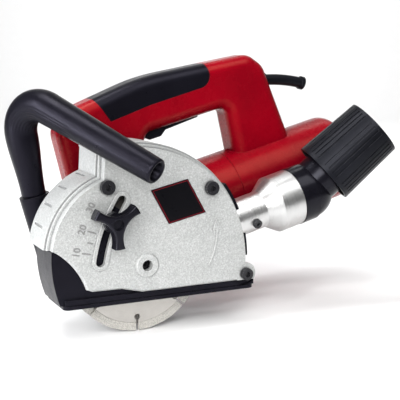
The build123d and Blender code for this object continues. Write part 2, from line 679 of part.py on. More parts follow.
def shell_cavities():
    inner = MOTOR_R - MOTOR_WALL
    room = motor_bar(inner, MOTOR_SEAM_X - 1, 197.5) + motor_bar(inner - 3, 209.5, MOTOR_END_X - 12)
    room += cyl_x(11.02, 199.98, 210, MOTOR_Y, 0) + cyl_x(8, 190, 215, MOTOR_Y, 0)
    room += block(TRIGGER_X0 - 12, 142, MOTOR_Y - 11, MOTOR_Y + 11, 101, 126)
    room += block(TRIGGER_X0 - 3, TRIGGER_X1 + 4, MOTOR_Y - TRIGGER_HALF_W - 0.8, MOTOR_Y + TRIGGER_HALF_W + 0.8, 80, 102)
    room += block(159, 188, MOTOR_Y - 11, MOTOR_Y + 11, 30, 124) + block(140, 161, MOTOR_Y - 11, MOTOR_Y + 11, 104, 124)
    room += block(-8, 34, MOTOR_Y - 12, MOTOR_Y + 12, 52, 122)
    room += cyl_y(BUTTON_R + 0.3, MOTOR_Y + 9, MOTOR_Y + HANDLE_W, BUTTON_X, BUTTON_Z)
    room += cyl_y(TRIGGER_PIN_R + 0.02, MOTOR_Y - 15, MOTOR_Y + 15, *TRIGGER_PIN)
    for x, z in HANDLE_SCREWS:
        room += cyl_y(2.02, MOTOR_Y - 15.5, MOTOR_Y + HANDLE_W, x, z) + cyl_y(4, MOTOR_Y + 14, MOTOR_Y + 60, x, z)
    for x in FOOT_SCREWS_X:
        room += cyl_z(2.52, 30, 53, x, MOTOR_Y)
    for k in range(7):
        room += block(226 + 4.5 * k, 228.5 + 4.5 * k, MOTOR_Y - 60, MOTOR_Y + 60, -12, 12)
    start = boot_ends()[0]
    return room + start * cyl_z(BOOT_R + RUN_GAP, -9.1, 5) + start * cyl_z(7.7, 0.5, 6)


def handle_shells():
    """Near and far halves of the D-handle and the rear motor casing."""
    outer = handle_solid(0)
    pad_zone = (outer - handle_solid(PAD_T)) & pad_region()
    body = outer - motor_bar(MOTOR_R + 0.4, MOTOR_FRONT_X - 20.4, MOTOR_SEAM_X)
    body = body + rear_motor_solid() - pad_zone - shell_cavities()
    near = body & block(-60, 300, -60, MOTOR_Y, -80, 200)
    far = body & block(-60, 300, MOTOR_Y, 200, -80, 200)
    return near, far, pad_zone


def handle_screws():
    return group([cyl_y(2.0, MOTOR_Y - 15, MOTOR_Y + 11, x, z) + cyl_y(3.9, MOTOR_Y + 11 + 3, MOTOR_Y + 16, x, z)
                  + cyl_y(2.0, MOTOR_Y + 10, MOTOR_Y + 15, x, z) for x, z in HANDLE_SCREWS])


def handle_foot_screws():
    tip = GEARBOX_TOP - 6.5
    return group([cyl_z(2.5, tip, 53, x, MOTOR_Y) + cyl_z(4.5, 52, 56, x, MOTOR_Y) for x in FOOT_SCREWS_X])


def trigger():
    """Long paddle trigger, hinged near its rear end, with a deeper front finger rest."""
    x0, x1 = TRIGGER_X0, TRIGGER_X1
    face = outline([(x0, 99), (x0 + 1, 86), (x0 + 5, 83), (x0 + 17, 83), (x0 + 23, 87.5), (x1, 89.5), (x1, 99)])
    solid = slab(face, MOTOR_Y - TRIGGER_HALF_W, MOTOR_Y + TRIGGER_HALF_W)
    solid = fillet(solid.edges().filter_by(lambda e: (e @ 0.5).Z < 92 and abs((e % 0.5).Y) < 0.5), 1.6)
    return solid - cyl_y(TRIGGER_PIN_R + RUN_GAP, MOTOR_Y - 20, MOTOR_Y + 20, *TRIGGER_PIN)


def trigger_pin():
    return cyl_y(TRIGGER_PIN_R, MOTOR_Y - 14.5, MOTOR_Y + 14.5, *TRIGGER_PIN)


def switch_module():
    return block(84, 134, MOTOR_Y - 10.5, MOTOR_Y + 10.5, 108, 125.5)


def lock_off_button():
    y = MOTOR_Y + HANDLE_W / 2
    return cyl_y(BUTTON_R, MOTOR_Y + 8.2, y + 2.5, BUTTON_X, BUTTON_Z) + \
        cyl_y(BUTTON_R + BUTTON_FLANGE, MOTOR_Y + 7, MOTOR_Y + 8.6, BUTTON_X, BUTTON_Z)


def boot_path():
    return ThreePointArc(*[(x, MOTOR_Y, z) for x, z in BOOT])


def boot_ends():
    path = boot_path()
    return Plane(origin=path @ 0, z_dir=path % 0), Plane(origin=path @ 1, z_dir=path % 1)


def cord_boot():
    """Bend sleeve where the mains lead leaves the handle, hollow for the lead."""
    path = boot_path()
    start, end = boot_ends()
    boot = sweep(start * Circle(BOOT_R), path=path) + end * cyl_z(6.6, -3, 0.8) + start * cyl_z(BOOT_R, -9, 0.1)
    boot += start * cyl_z(7.6, 0.6, 3)
    boot -= sweep(start * Circle(CORD_R), path=path)
    return boot - end * cyl_z(CORD_R, -3, 3) - start * cyl_z(CORD_R, -12, 2)


# ---------------------------------------------------------------- front handle


def handle_points():
    return Vector(LEG_X, LEG_Y, LEG_TOP), Vector(HANDLE_CORNER[0], LEG_Y, HANDLE_CORNER[1]), Vector(*GRIP_END)


def handle_planes():
    """Planes square to the tube at its foot and at its open end."""
    base, corner, end = handle_points()
    return Plane(origin=base, z_dir=corner - base), Plane(origin=end, z_dir=end - corner)


def front_handle():
    """Hollow bent handle: leg beside the casing, thick knee, then a grip tapering across the front."""
    base, corner, end = handle_points()
    path = FilletPolyline(base, corner, end, radius=BEND_R)
    first, last = handle_planes()
    bend = path.edges().filter_by(GeomType.CIRCLE)[0]
    bend_in = Plane(origin=bend @ 0, z_dir=bend % 0)
    bend_out = Plane(origin=bend @ 1, z_dir=bend % 1)
    tube = loft([first * Circle(LEG_R), bend_in * Circle(KNEE_R)]) + loft([bend_out * Circle(KNEE_R), last * Circle(GRIP_END_R)])
    tube += sweep(bend_in * Circle(KNEE_R), path=bend)
    return tube - last * cyl_z(GRIP_END_R - 3.4, -45, 3)


def front_handle_base():
    """Clamp foot of the front handle, bolted to the casing's back wall."""
    foot = cyl_z(13.0, 14, LEG_TOP, LEG_X, LEG_Y)
    pad = block(LEG_X - 9, LEG_X + 9, BACK_Y, LEG_Y, 14, 50)
    foot = foot + pad
    for z in LEG_BOLTS_Z:
        foot -= cyl_y(BOLT_R + 0.05, BACK_Y - 1, LEG_Y + 20, LEG_X, z) + cyl_y(5.6, LEG_Y + 6, LEG_Y + 20, LEG_X, z)
    cap, _ = handle_planes()
    return (foot & block(LEG_X - 20, LEG_X + 20, BACK_Y, 80, 0, 90)) - cap * cyl_z(30, 0, 30)


def front_handle_bolts():
    return group([cyl_y(BOLT_R, BACK_Y - 2.5, LEG_Y + 7, LEG_X, z) + cyl_y(5.3, LEG_Y + 6, LEG_Y + 10, LEG_X, z)
                  - hex_socket(5, LEG_Y + 8, LEG_Y + 12, LEG_X, z) for z in LEG_BOLTS_Z])


def spindle_lock():
    pin = cyl_x(3.0, -GEARBOX_R - 9, -CROWN_R - 2.5, LOCK_Y, 0)
    return pin + cyl_x(7.0, -GEARBOX_R - 12, -GEARBOX_R - 7.5, LOCK_Y, 0)


# ---------------------------------------------------------------- guard (row frame)
def disc_slot():
    half = STACK + 3.5
    reach = math.sqrt(DISC_R ** 2 - 23.5 ** 2) + 4
    centre = -math.hypot(PIVOT_X, PIVOT_Z) * math.cos(math.radians(10.4))
    return block(centre - reach, centre + reach, -half, half, -5, 30)


def band_circle(grow):
    return Pos(-67, 40.5) * Circle(GUARD_BAND_R + grow)


def rect(x0, x1, z0, z1):
    return outline([(x0, z0), (x1, z0), (x1, z1), (x0, z1)])


def guard_wall_shape():
    pivot = Pos(0, PIVOT_H)
    front = (rect(-185, -40, SOLE_T + 0.2, 49) & band_circle(0)) - pivot * Circle(GUARD_INNER_R)
    upper = ring_sector(0, PIVOT_H, GUARD_INNER_R, APRON_R, 180 - 29.5, 180) & (Pos(*APRON_CENTRE) * Circle(62.5) + rect(-185, 0, 0, 49))
    strip = rect(-125, 0, SOLE_T + 0.2, PIVOT_H) + pivot * Circle(EAR_R)
    return front + upper + strip


def guard_shell():
    """Telescoping guard: rail, two side walls, front band, apron and ears."""
    wall = guard_wall_shape()
    body = slab(wall, GUARD_Y0, GUARD_Y0 + GUARD_WALL) + slab(wall, GUARD_Y1 - GUARD_WALL, GUARD_Y1)
    band = (band_circle(0) - band_circle(-4)) & rect(-185, -150, SOLE_T + 0.2, 49)
    ledge = rect(-180, -160, 46.5, 49) & band_circle(0)
    apron = ring_sector(0, PIVOT_H, APRON_R - 3, APRON_R, 180 - 27, 180 - 9)
    body += slab(band + (ledge - Pos(0, PIVOT_H) * Circle(APRON_R - 3)) + apron, GUARD_Y0, GUARD_Y1)
    rail = block(SOLE_FRONT + 1.2, SOLE_REAR, SOLE_Y0 + 0.8, SOLE_Y1 - 0.3, SOLE_T + 0.2, RAIL_TOP)
    relief = cyl_y(LUG_R + 0.8, FACE_Y - 1, GUARD_Y0 - 0.3, 0, PIVOT_H) + cyl_y(LUG_R + 0.8, GUARD_Y1 + 0.3, BACK_Y + 1, 0, PIVOT_H)
    body += rail - relief - disc_slot()
    x, z = left_polar(SLOT_R, BOLT_ANGLE)
    body -= cyl_y(BOLT_R + 0.05, GUARD_Y0 - 1, GUARD_Y0 + 5, x, z + PIVOT_H)
    for x, y in SOLE_SCREWS:
        body -= cyl_z(2.02, SOLE_T - 1, RAIL_TOP - 1, x, y)
    return body - cyl_y(PIN_R + RUN_GAP, GUARD_Y0 - 1, GUARD_Y1 + 1, 0, PIVOT_H)


def sole_plate():
    plate = block(SOLE_FRONT, SOLE_REAR, SOLE_Y0, SOLE_Y1, 0, SOLE_T)
    plate = fillet(plate.edges().filter_by(Axis.Z), 5)
    plate -= disc_slot()
    for x, y in SOLE_SCREWS:
        plate -= cyl_z(2.2, -1, SOLE_T + 1, x, y) + cyl_z(3.8, -1, 1.8, x, y)
    return plate


def sole_screws():
    return group([cyl_z(3.6, 0.3, 1.8, x, y) + cyl_z(2.0, 1.5, RAIL_TOP - 1.3, x, y) for x, y in SOLE_SCREWS])


def bolt_point():
    x, z = left_polar(SLOT_R, BOLT_ANGLE)
    return x, z + PIVOT_H


def depth_bolt():
    x, z = bolt_point()
    bolt = cyl_y(7, GUARD_Y0 + GUARD_WALL, GUARD_Y0 + GUARD_WALL + 3, x, z)
    return bolt + cyl_y(BOLT_R, KNOB_FOOT - 10, GUARD_Y0 + GUARD_WALL + 1, x, z)


def knob_washer():
    x, z = bolt_point()
    return cyl_y(8.5, KNOB_FOOT + 0.1, KNOB_FOOT + 1.7, x, z) - cyl_y(BOLT_R + 0.1, KNOB_FOOT - 1, FACE_Y, x, z)


def knob_insert():
    x, z = bolt_point()
    return cyl_y(INSERT_R, KNOB_FOOT - INSERT_LEN, KNOB_FOOT, x, z) - cyl_y(BOLT_R + RUN_GAP, KNOB_FOOT - 11, FACE_Y, x, z)


def depth_knob():
    """Three-wing knob with hollow flanks, rounded over in front, with a sunk middle."""
    x, z = bolt_point()
    front = KNOB_FOOT - KNOB_H
    star = Circle(KNOB_R)
    for k in range(3):
        a = math.radians(KNOB_TURN + TILT + 60 + 120 * k)
        star -= Pos(27.5 * math.cos(a), 27.5 * math.sin(a)) * Circle(20.5)
    solid = slab(Pos(x, z) * star, front, KNOB_FOOT - 4)
    solid = fillet(solid.faces().sort_by(Axis.Y)[0].edges(), 1.8)
    solid += cyl_y(8.5, KNOB_FOOT - 6, KNOB_FOOT, x, z)
    solid -= cyl_y(KNOB_CUP_R, front - 1, front + KNOB_CUP_DEPTH, x, z)
    solid -= cyl_y(INSERT_R + 0.02, KNOB_FOOT - INSERT_LEN - 0.5, KNOB_FOOT + 1, x, z)
    return solid - cyl_y(BOLT_R + 0.2, KNOB_FOOT - 10.5, FACE_Y, x, z)


# ---------------------------------------------------------------- write every node
def main():
    os.makedirs("parts", exist_ok=True)
    near_shell, far_shell, grip_pad = handle_shells()
    body_nodes = {
        "blade_cover": blade_cover(), "label_plate": label_plate(), "rear_casing": rear_casing(),
        "cover_screws": cover_screws(), "pivot_pin": pivot_pin(), "pivot_nut": pivot_nut(),
        "dust_shield": dust_shield(), "dust_port": dust_port(), "dust_port_screw": dust_port_screw(),
        "dust_elbow": dust_elbow(), "hose_adapter": hose_adapter(),
        "gear_housing": gear_housing(), "gearbox_screws": gearbox_screws(), "bearing_flange": bearing_flange(),
        "front_spindle_bearing": front_spindle_bearing(), "rear_spindle_bush": rear_spindle_bush(),
        "front_armature_bearing": front_armature_bearing(), "rear_armature_bearing": rear_armature_bearing(),
        "spindle": spindle(), "inner_flange": inner_flange(), "outer_flange": outer_flange(),
        "clamp_bolt": clamp_bolt(), "spacer_rings": spacer_rings(), "near_disc": near_disc(),
        "far_disc": far_disc(), "crown_gear": crown_gear(), "pinion": pinion(),
        "armature_shaft": armature_shaft(), "armature_core": armature_core(),
        "armature_windings": armature_windings(), "commutator": commutator(), "fan": fan(),
        "stator": stator(), "fan_baffle": fan_baffle(), "motor_housing": motor_housing(),
        "brush_holders": brush_holders(), "carbon_brushes": carbon_brushes(),
        "near_handle_shell": near_shell, "far_handle_shell": far_shell, "grip_pad": grip_pad,
        "handle_screws": handle_screws(), "handle_foot_screws": handle_foot_screws(),
        "trigger": trigger(), "trigger_pin": trigger_pin(), "switch_module": switch_module(),
        "lock_off_button": lock_off_button(), "cord_boot": cord_boot(),
        "front_handle": front_handle(), "front_handle_base": front_handle_base(),
        "front_handle_bolts": front_handle_bolts(), "spindle_lock": spindle_lock(),
    }
    guard_nodes = {
        "guard_shell": guard_shell(), "sole_plate": sole_plate(), "sole_screws": sole_screws(),
        "depth_bolt": depth_bolt(), "knob_washer": knob_washer(), "knob_insert": knob_insert(),
        "depth_knob": depth_knob(),
    }
    for node, shape in body_nodes.items():
        save(shape, node, to_row)
    for node, shape in guard_nodes.items():
        save(shape, node)


main()
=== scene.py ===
import math

import bpy
from mathutils import Matrix, Vector


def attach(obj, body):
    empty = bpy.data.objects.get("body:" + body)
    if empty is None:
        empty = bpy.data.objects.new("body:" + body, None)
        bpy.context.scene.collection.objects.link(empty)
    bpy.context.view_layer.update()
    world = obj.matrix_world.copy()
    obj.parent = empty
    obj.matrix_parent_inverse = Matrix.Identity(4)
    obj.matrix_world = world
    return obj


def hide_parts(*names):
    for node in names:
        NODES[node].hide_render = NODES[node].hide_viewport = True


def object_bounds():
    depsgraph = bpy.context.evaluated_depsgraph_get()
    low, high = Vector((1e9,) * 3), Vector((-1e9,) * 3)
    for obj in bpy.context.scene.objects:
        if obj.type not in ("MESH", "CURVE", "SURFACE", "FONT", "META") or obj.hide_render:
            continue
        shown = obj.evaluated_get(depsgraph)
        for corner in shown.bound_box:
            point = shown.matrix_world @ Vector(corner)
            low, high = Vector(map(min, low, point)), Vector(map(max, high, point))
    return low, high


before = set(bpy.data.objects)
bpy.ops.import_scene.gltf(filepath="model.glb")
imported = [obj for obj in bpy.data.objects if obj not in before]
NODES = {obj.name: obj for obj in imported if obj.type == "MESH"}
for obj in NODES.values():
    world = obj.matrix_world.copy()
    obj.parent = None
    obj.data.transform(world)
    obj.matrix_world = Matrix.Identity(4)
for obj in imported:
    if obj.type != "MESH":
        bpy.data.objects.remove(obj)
cad_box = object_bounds()

# ---------------------------------------------------------------- the tool's own directions
TILT = math.radians(15.0)   # nose-down tilt at full plunge
PIVOT_X, PIVOT_Z = 87.4, -41.3      # tilt pivot in the body frame, mm
PIVOT_H = 14.0              # tilt pivot above the sole's underside
FACE_Y = -31.0              # outer face of the blade cover
MOTOR_Y = 66.0              # motor axis
PORT_Y, PORT_Z = -7.0, 2.5  # dust port axis
DISC_CORE_R = 55.2          # where a disc's gritty rim begins


def body_point(x, y, z):
    """Body frame (mm, spindle at the origin) to the row frame in metres."""
    dx, dz = x - PIVOT_X, z - PIVOT_Z
    return Vector((dx * math.cos(TILT) - dz * math.sin(TILT), y,
                   PIVOT_H + dx * math.sin(TILT) + dz * math.cos(TILT))) / 1000.0


def body_dir(x, y, z):
    """A direction in the body frame, turned into the row frame."""
    return Vector((x * math.cos(TILT) - z * math.sin(TILT), y, x * math.sin(TILT) + z * math.cos(TILT)))


# ---------------------------------------------------------------- material helpers
class Shader:
    """A principled material with short calls for its texture nodes."""

    def __init__(self, name):
        self.mat = bpy.data.materials.new(name)
        self.mat.use_nodes = True
        self.tree = self.mat.node_tree
        self.tree.nodes.clear()
        out = self.add("ShaderNodeOutputMaterial")
        self.bsdf = self.add("ShaderNodeBsdfPrincipled")
        self.link(self.bsdf.outputs[0], out.inputs[0])
        self.coords = self.add("ShaderNodeTexCoord").outputs["Object"]

    def add(self, kind, **values):
        node = self.tree.nodes.new(kind)
        for key, value in values.items():
            setattr(node, key, value)
        return node

    def link(self, a, b):
        self.tree.links.new(a, b)

    def feed(self, socket, value):
        if hasattr(value, "is_output"):
            self.link(value, socket)
        else:
            socket.default_value = value

    def noise(self, scale, detail=3.0, rough=0.5, coords=None):
        node = self.add("ShaderNodeTexNoise")
        self.link(coords or self.coords, node.inputs["Vector"])
        node.inputs["Scale"].default_value = scale
        node.inputs["Detail"].default_value = detail
        node.inputs["Roughness"].default_value = rough
        return node.outputs[0]

    def voronoi(self, scale, coords=None, feature="F1"):
        node = self.add("ShaderNodeTexVoronoi", feature=feature)
        self.link(coords or self.coords, node.inputs["Vector"])
        node.inputs["Scale"].default_value = scale
        return node.outputs["Distance"]

    def remap(self, value, a, b, c, d):
        """Stretch a to b onto c to d, and hold it there beyond."""
        node = self.add("ShaderNodeMapRange")
        self.link(value, node.inputs[0])
        for i, v in enumerate((a, b, c, d)):
            node.inputs[1 + i].default_value = v
        return node.outputs[0]

    def math(self, op, a, b=0.0):
        node = self.add("ShaderNodeMath", operation=op)
        self.feed(node.inputs[0], a)
        self.feed(node.inputs[1], b)
        return node.outputs[0]

    def mix(self, fac, a, b):
        node = self.add("ShaderNodeMix", data_type="RGBA")
        self.feed(node.inputs[0], fac)
        self.feed(node.inputs[6], a)
        self.feed(node.inputs[7], b)
        return node.outputs[2]

    def bump(self, height, distance, strength=1.0, edge=0.0004):
        """Surface relief in metres, on top of slightly rounded edges."""
        node = self.add("ShaderNodeBump")
        node.inputs["Strength"].default_value = strength
        node.inputs["Distance"].default_value = distance
        self.link(height, node.inputs["Height"])
        if edge:
            self.link(self.rounded(edge), node.inputs["Normal"])
        self.link(node.outputs[0], self.bsdf.inputs["Normal"])

    def rounded(self, radius):
        node = self.add("ShaderNodeBevel", samples=6)
        node.inputs["Radius"].default_value = radius
        return node.outputs[0]

    def edge_mask(self, radius, low=0.02, high=0.35):
        """1 on sharp edges, 0 on open faces."""
        geometry = self.add("ShaderNodeNewGeometry")
        dot = self.add("ShaderNodeVectorMath", operation="DOT_PRODUCT")
        self.link(self.rounded(radius), dot.inputs[0])
        self.link(geometry.outputs["Normal"], dot.inputs[1])
        away = self.math("SUBTRACT", 1.0, dot.outputs["Value"])
        return self.remap(away, low, high, 0.0, 1.0)

    def crevice(self, distance, most, low=0.50, high=0.96):
        """Share of painted shade, taken from ambient occlusion: 0 in the open, up to most in grooves and
        inside corners.
        """
        node = self.add("ShaderNodeAmbientOcclusion", samples=8)
        node.inputs["Distance"].default_value = distance
        return self.remap(node.outputs["AO"], low, high, most, 0.0)

    def set(self, **values):
        for key, value in values.items():
            self.feed(self.bsdf.inputs[key.replace("_", " ").title().replace("Ior", "IOR")], value)
        return self

    def about(self, origin, axis, along=(1.0, 0.0, 0.0)):
        """Coordinates from a point with z along an axis, the radius about it and the height along it."""
        axis = Vector(axis).normalized()
        side = Vector(along) - axis * Vector(along).dot(axis)
        side.normalize()
        third = axis.cross(side)
        node = self.add("ShaderNodeVectorMath", operation="SUBTRACT")
        self.link(self.coords, node.inputs[0])
        node.inputs[1].default_value = origin
        parts = []
        for d in (side, third, axis):
            dot = self.add("ShaderNodeVectorMath", operation="DOT_PRODUCT")
            self.link(node.outputs[0], dot.inputs[0])
            dot.inputs[1].default_value = d
            parts.append(dot.outputs["Value"])
        join = self.add("ShaderNodeCombineXYZ")
        for i, part in enumerate(parts):
            self.link(part, join.inputs[i])
        squares = [self.math("MULTIPLY", part, part) for part in parts[:2]]
        radius = self.math("SQRT", self.math("ADD", *squares))
        return join.outputs[0], radius, parts[2]

    def rows(self, value):
        """Coordinates that change with one value only, for rings and bands."""
        node = self.add("ShaderNodeCombineXYZ")
        self.link(value, node.inputs[0])
        return node.outputs[0]

    def stretched(self, coords, sx, sy, sz):
        node = self.add("ShaderNodeMapping")
        self.link(coords, node.inputs[0])
        node.inputs["Scale"].default_value = (sx, sy, sz)
        return node.outputs[0]


def rgb(r, g, b):
    return (r, g, b, 1.0)


def plastic(name, base, dark, roughness, grain, grain_depth, tint=(1, 1, 1), wear=0.0, coat=0.0, shine=0.2,
            edge=0.0005, painted_shade=None):
    """Moulded plastic: spark-eroded grain, slow colour drift, handling marks, painted shade darkening it in
    recesses and between parts.
    """
    s = Shader(name)
    drift = s.remap(s.noise(18.0, 4.0), 0.35, 0.65, 0.0, 1.0)
    colour = s.mix(drift, rgb(*base), rgb(*dark))
    fine = s.noise(grain, 2.0)
    # painted shade: colour darkened by ambient occlusion out to 45 mm, in recesses and between parts
    if painted_shade:
        colour = s.mix(s.crevice(0.045, 0.85, 0.30, 0.95), colour, rgb(*painted_shade))
    if wear:
        bright_edge = s.math("MULTIPLY", s.edge_mask(0.0012), s.remap(s.noise(160.0, 5.0), 0.42, 0.62, 0.0, wear))
        colour = s.mix(bright_edge, colour, rgb(*[min(1.0, c * 1.8 + 0.05) for c in base]))
    marks = s.remap(s.noise(60.0, 6.0, 0.7), 0.3, 0.75, roughness - 0.05, roughness + 0.09)
    s.set(base_color=colour, roughness=marks)
    s.bsdf.inputs["Specular Tint"].default_value = rgb(*tint)
    s.bsdf.inputs["Specular IOR Level"].default_value = shine
    if coat:
        s.bsdf.inputs["Coat Weight"].default_value = coat
        s.bsdf.inputs["Coat Roughness"].default_value = 0.16
    s.bump(fine, grain_depth, 1.0, edge)
    return s.mat


def cast_alloy():
    """Die-cast aluminium under a thin satin lacquer, finely pebbled, with painted shade in its crevices and
    brighter edges, partly rubbed wear and partly a painted edge highlight.
    """
    s = Shader("cast_alloy")
    pebble = s.noise(1500.0, 3.0, 0.6)
    blotch = s.noise(42.0, 5.0, 0.65)
    speck = s.voronoi(900.0)
    colour = s.mix(s.remap(blotch, 0.35, 0.68, 0.0, 1.0), rgb(0.475, 0.485, 0.480), rgb(0.415, 0.425, 0.42))
    colour = s.mix(s.remap(pebble, 0.40, 0.60, 0.0, 0.55), colour, rgb(0.30, 0.305, 0.30))
    colour = s.mix(s.remap(speck, 0.0, 0.22, 0.20, 0.0), colour, rgb(0.30, 0.30, 0.29))
    grains = s.noise(620.0, 4.0, 0.75)
    colour = s.mix(s.remap(grains, 0.50, 0.66, 0.0, 0.55), colour, rgb(0.27, 0.275, 0.27))
    colour = s.mix(s.remap(grains, 0.48, 0.34, 0.0, 0.50), colour, rgb(0.66, 0.67, 0.665))
    # painted shade: near-black in grooves and around raised lips, from ambient occlusion
    colour = s.mix(s.crevice(0.0020, 0.75), colour, rgb(0.075, 0.075, 0.08))
    # brighter edges: partly rubbed wear, partly a painted edge highlight
    bright_edge = s.math("MULTIPLY", s.edge_mask(0.0011), s.remap(s.noise(130.0, 5.0), 0.36, 0.6, 0.2, 0.85))
    colour = s.mix(bright_edge, colour, rgb(0.72, 0.73, 0.72))
    s.set(base_color=colour, metallic=0.28, roughness=s.remap(pebble, 0.3, 0.7, 0.40, 0.58))
    height = s.math("ADD", s.math("MULTIPLY", pebble, 0.7), s.math("MULTIPLY", speck, 0.5))
    s.bump(height, 0.00022, 0.8, 0.0006)
    return s.mat


def turned(name, base, origin, axis, pitch, roughness):
    """Lathe-turned metal: fine rings about its axis and a few tool marks."""
    s = Shader(name)
    _, radius, along = s.about(origin, axis)
    ring = s.rows(s.math("ADD", along, radius))
    wave = s.add("ShaderNodeTexWave", wave_type="BANDS", bands_direction="X")
    s.link(ring, wave.inputs["Vector"])
    wave.inputs["Scale"].default_value = 1.0 / pitch
    wave.inputs["Distortion"].default_value = 0.6
    bands = s.noise(2600.0, 2.0, 0.6, ring)
    colour = s.mix(s.remap(bands, 0.3, 0.7, 0.0, 0.3), rgb(*base), rgb(*[c * 0.6 for c in base]))
    grime = s.remap(s.noise(70.0, 5.0), 0.45, 0.75, 0.0, 0.25)
    colour = s.mix(grime, colour, rgb(*[c * 0.7 for c in base]))
    rough = s.remap(bands, 0.3, 0.7, roughness - 0.06, roughness + 0.1)
    s.set(base_color=colour, metallic=1.0, roughness=rough)
    s.bump(s.math("ADD", wave.outputs["Fac"], bands), 0.00004, 0.7, 0.0004)
    return s.mat


def disc_metal():
    """Diamond disc: ground steel core with radial swirl, tan gritty segments at the rim, dusty."""
    s = Shader("disc_metal")
    _, radius, _ = s.about(body_point(0, 0, 0), (0, 1, 0))
    swirl = s.noise(3000.0, 2.0, 0.5, s.rows(radius))
    grit = s.voronoi(1100.0)
    speck = s.noise(1000.0, 4.0, 0.75)
    rim = s.remap(radius, DISC_CORE_R / 1000.0, DISC_CORE_R / 1000.0 + 0.0004, 0.0, 1.0)
    core = s.mix(s.remap(swirl, 0.35, 0.65, 0.0, 1.0), rgb(0.52, 0.50, 0.47), rgb(0.44, 0.42, 0.395))
    segment = s.mix(s.remap(grit, 0.1, 0.6, 0.0, 1.0), rgb(0.17, 0.16, 0.15), rgb(0.50, 0.485, 0.45))
    segment = s.mix(s.remap(speck, 0.55, 0.7, 0.0, 0.6), segment, rgb(0.75, 0.73, 0.68))
    colour = s.mix(rim, core, segment)
    dust = s.remap(s.noise(90.0, 5.0, 0.6), 0.42, 0.7, 0.0, 0.35)
    colour = s.mix(dust, colour, rgb(0.60, 0.58, 0.54))
    rough = s.remap(rim, 0.0, 1.0, 0.38, 0.75)
    s.set(base_color=colour, metallic=s.remap(rim, 0.0, 1.0, 0.75, 0.2), roughness=rough)
    relief = s.math("MULTIPLY", s.math("MULTIPLY", grit, rim), 3.0)
    s.bump(s.math("ADD", relief, swirl), 0.00006, 0.9, 0.0003)
    return s.mat


def steel(name, base, roughness, metallic=1.0):
    """Ground or blackened steel: directionless fine scratches, light stains, brighter edges."""
    s = Shader(name)
    hair = s.noise(2400.0, 2.0, 0.5, s.stretched(s.coords, 1.0, 0.12, 1.0))
    stain = s.remap(s.noise(140.0, 5.0, 0.6), 0.4, 0.7, 0.0, 0.25)
    colour = s.mix(stain, rgb(*base), rgb(*[c * 0.55 for c in base]))
    bright_edge = s.math("MULTIPLY", s.edge_mask(0.0005), 0.5)
    colour = s.mix(bright_edge, colour, rgb(*[min(1.0, c * 1.5 + 0.06) for c in base]))
    rough = s.remap(hair, 0.3, 0.7, roughness - 0.08, roughness + 0.1)
    s.set(base_color=colour, metallic=metallic, roughness=rough)
    s.bump(hair, 0.00003, 0.6, 0.0003)
    return s.mat


def copper_wire():
    """Enamelled winding: turns of wire side by side about the motor axis."""
    s = Shader("copper_wire")
    coords, _, _ = s.about(body_point(0, MOTOR_Y, 0), body_dir(1, 0, 0))
    wave = s.add("ShaderNodeTexWave", wave_type="BANDS", bands_direction="Z")
    s.link(coords, wave.inputs["Vector"])
    wave.inputs["Scale"].default_value = 380.0
    wave.inputs["Distortion"].default_value = 2.0
    colour = s.mix(wave.outputs["Fac"], rgb(0.30, 0.09, 0.03), rgb(0.62, 0.24, 0.09))
    s.set(base_color=colour, metallic=0.6, roughness=0.32)
    s.bump(wave.outputs["Fac"], 0.0003, 0.8, 0.0)
    return s.mat


def laminated():
    """Stack of thin sheets along the motor axis, varnished."""
    s = Shader("laminated")
    coords, _, _ = s.about(body_point(0, MOTOR_Y, 0), body_dir(1, 0, 0))
    wave = s.add("ShaderNodeTexWave", wave_type="BANDS", bands_direction="Z")
    s.link(coords, wave.inputs["Vector"])
    wave.inputs["Scale"].default_value = 600.0
    drift = s.noise(120.0, 4.0)
    colour = s.mix(s.remap(drift, 0.35, 0.65, 0.0, 1.0), rgb(0.16, 0.165, 0.18), rgb(0.24, 0.22, 0.20))
    colour = s.mix(s.math("MULTIPLY", wave.outputs["Fac"], 0.5), colour, rgb(0.05, 0.05, 0.055))
    s.set(base_color=colour, metallic=0.8, roughness=0.42)
    s.bump(wave.outputs["Fac"], 0.0001, 0.8, 0.0003)
    return s.mat


